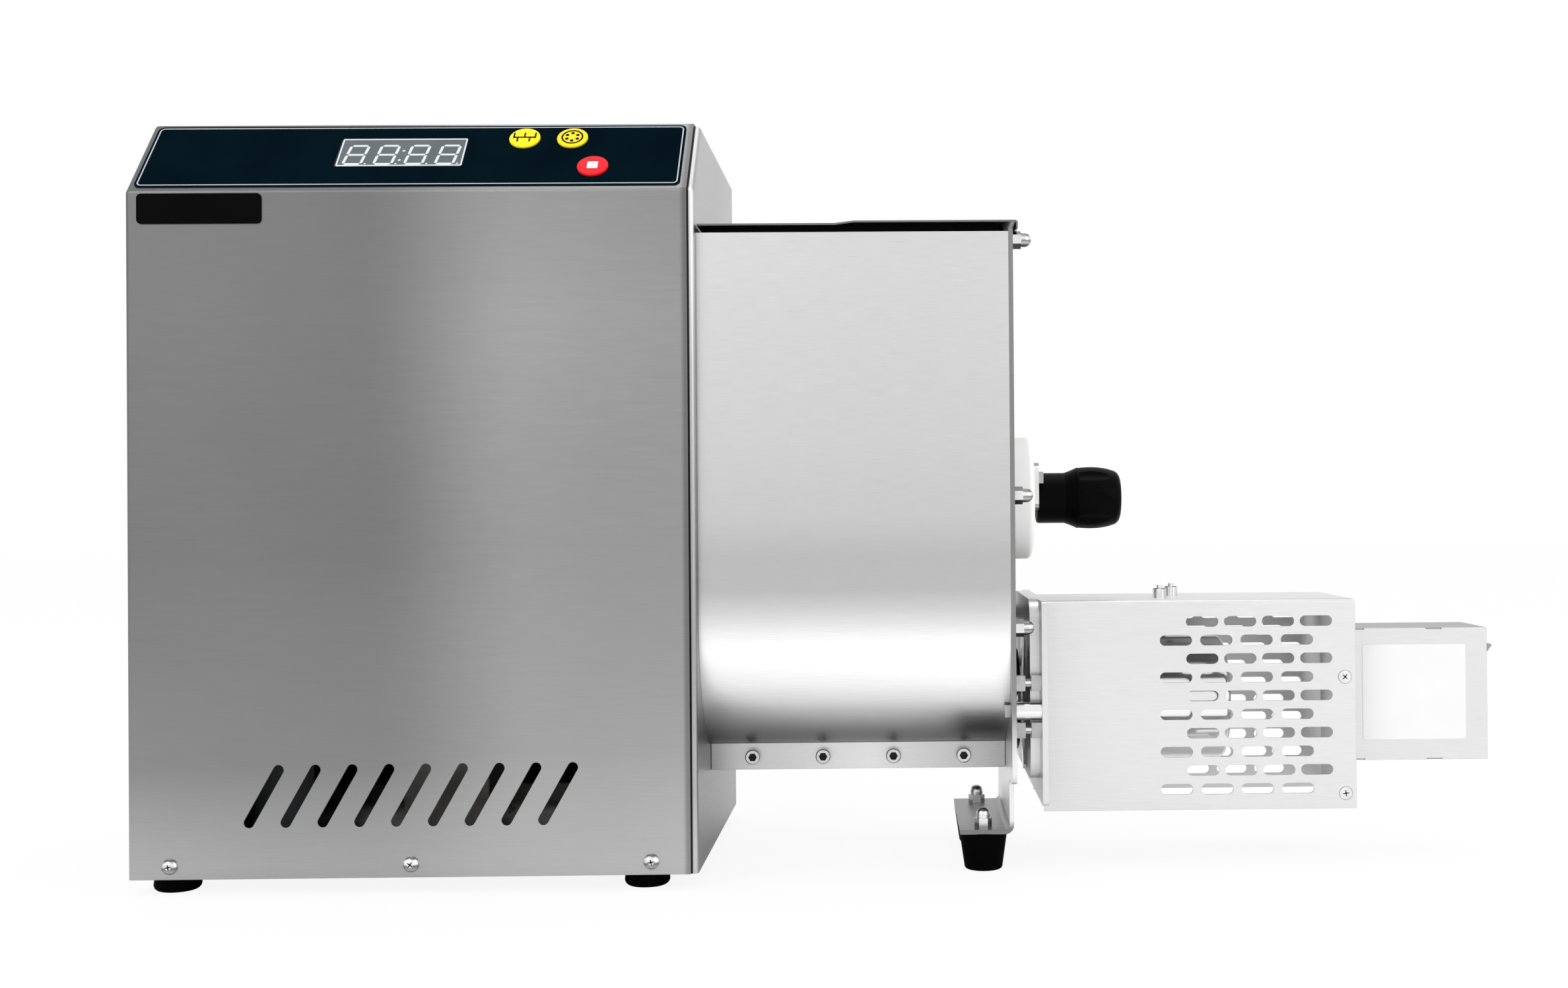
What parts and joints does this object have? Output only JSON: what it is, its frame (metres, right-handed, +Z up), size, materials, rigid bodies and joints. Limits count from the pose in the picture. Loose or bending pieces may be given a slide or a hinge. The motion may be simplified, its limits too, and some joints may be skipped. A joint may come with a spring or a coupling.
{
  "type": "electric pasta maker",
  "caption": "Table-top pasta extruder: brushed steel drive housing with sloping key panel, lidded mixing hopper, release knob, extrusion die and slotted cutter guard.",
  "frame": {"origin": "on the table, under the middle of the machine's overall box", "axes": "+X runs along the machine from the drive housing to the cutter, +Y away from the user, +Z up"},
  "size_m": [0.8942, 0.2708, 0.4954],
  "materials": {
    "cover_steel": "soft brushed sheet",
    "hopper_steel": "brushed sheet",
    "guard_steel": "pale satin sheet",
    "bright_steel": "turned and polished",
    "hardware": "plain stainless fasteners",
    "zinc_sheet": "zinc-plated inner sheet",
    "gear_steel": "machined and oiled",
    "cast_alloy": "cast, lightly blasted",
    "motor_paint": "semi-gloss enamel",
    "bronze": "sintered bronze",
    "rubber": "matte",
    "overlay_black": "printed film",
    "plate_black": "polished",
    "display_dark": "smoked window",
    "key_yellow": "moulded",
    "key_red": "moulded",
    "white_plastic": "turned acetal",
    "knob_black": "moulded grip",
    "board_green": "circuit board",
    "grey_plastic": "moulded"
  },
  "bodies": {
    "chassis": {"acorn_nuts": "bright_steel", "base_plate": "zinc_sheet", "blank_plate": "plate_black", "clamp_studs": "hardware", "control_board": "board_green", "control_overlay": "overlay_black", "countersunk_screws": "hardware", "cover_screws": "hardware", "cutter_cover": "guard_steel", "cutter_drum": "bright_steel", "cutter_head_plate": "knob_black", "cutter_motor": "motor_paint", "cutter_mount_plate": "guard_steel", "cutter_pillars": "bright_steel", "die_plate": "bronze", "die_ring_nut": "bright_steel", "display_window": "display_dark", "drive_end_wall": "hopper_steel", "extrusion_barrel": "cast_alloy", "front_bearing_disc": "white_plastic", "gear_carrier": "zinc_sheet", "gearbox_case": "cast_alloy", "hex_bolts": "hardware", "hinge_base": "hardware", "hinge_pins": "hardware", "hopper_end_plate": "hopper_steel", "hopper_feet": "rubber", "hopper_trough": "hopper_steel", "housing_cover": "cover_steel", "housing_feet": "rubber", "keeper_plate": "hardware", "motor_body": "motor_paint", "motor_bracket": "zinc_sheet", "motor_capacitor": "grey_plastic", "power_box": "guard_steel", "power_box_lid": "guard_steel", "power_inlet": "knob_black", "power_jack": "knob_black", "rail_screws": "hardware", "shaft_bearings": "bronze", "shaft_seals": "rubber", "support_rail": "hopper_steel", "switch_frame": "knob_black", "thumb_nuts": "hardware"},
    "mixer": {"mixing_shaft": "bright_steel", "mixing_paddles": "bright_steel", "mixer_gear": "gear_steel"},
    "screw": {"extrusion_screw": "bright_steel", "screw_gear": "gear_steel"},
    "pinion": {"drive_pinion": "gear_steel"},
    "lid": {"lid_plate": "hopper_steel", "lid_seal": "rubber", "hinge_leaves": "hardware"},
    "release": {"release_knob": "knob_black", "release_pin": "bright_steel"},
    "mix_button": {"mix_key": "key_yellow"},
    "press_button": {"press_key": "key_yellow"},
    "stop_button": {"stop_key": "key_red"},
    "blade": {"cutter_blade": "bright_steel"},
    "rocker": {"switch_rocker": "knob_black"}
  },
  "joints": [
    {"name": "screw_spin", "type": "hinge", "parent": "chassis", "child": "screw", "pos_m": [-0.08895, -0.0275, 0.1078], "axis": [1, 0, 0], "continuous": true},
    {"name": "mixer_spin", "type": "hinge", "parent": "chassis", "child": "mixer", "pos_m": [-0.08895, -0.0275, 0.2466], "axis": [1, 0, 0], "continuous": true},
    {"name": "pinion_spin", "type": "hinge", "parent": "chassis", "child": "pinion", "pos_m": [-0.08895, 0.04728, 0.18258], "axis": [1, 0, 0], "continuous": true},
    {"name": "lid_hinge", "type": "hinge", "parent": "chassis", "child": "lid", "pos_m": [-0.08895, 0.073, 0.422], "axis": [-1, 0, 0], "range_deg": [0, 100]},
    {"name": "release_slide", "type": "slide", "parent": "chassis", "child": "release", "axis": [1, 0, 0], "range_m": [0, 0.014], "stiffness_N_per_m": 600, "springref_m": -0.01},
    {"name": "mix_key_press", "type": "slide", "parent": "chassis", "child": "mix_button", "axis": [0, 0.749, -0.6626], "range_m": [0, 0.0005], "stiffness_N_per_m": 2000, "springref_m": -0.0005},
    {"name": "press_key_press", "type": "slide", "parent": "chassis", "child": "press_button", "axis": [0, 0.749, -0.6626], "range_m": [0, 0.0005], "stiffness_N_per_m": 2000, "springref_m": -0.0005},
    {"name": "stop_key_press", "type": "slide", "parent": "chassis", "child": "stop_button", "axis": [0, 0.749, -0.6626], "range_m": [0, 0.0005], "stiffness_N_per_m": 2000, "springref_m": -0.0005},
    {"name": "blade_spin", "type": "hinge", "parent": "chassis", "child": "blade", "pos_m": [0.13145, -0.0275, 0.1078], "axis": [1, 0, 0], "continuous": true},
    {"name": "rocker_hinge", "type": "hinge", "parent": "chassis", "child": "rocker", "pos_m": [0.44005, -0.0395, 0.1378], "axis": [0, -1, 0], "range_deg": [0, 16]}
  ],
  "couplings": [
    {"joint": "mixer_spin", "follows": "screw_spin", "ratio": -1.3333},
    {"joint": "pinion_spin", "follows": "screw_spin", "ratio": -3}
  ]
}
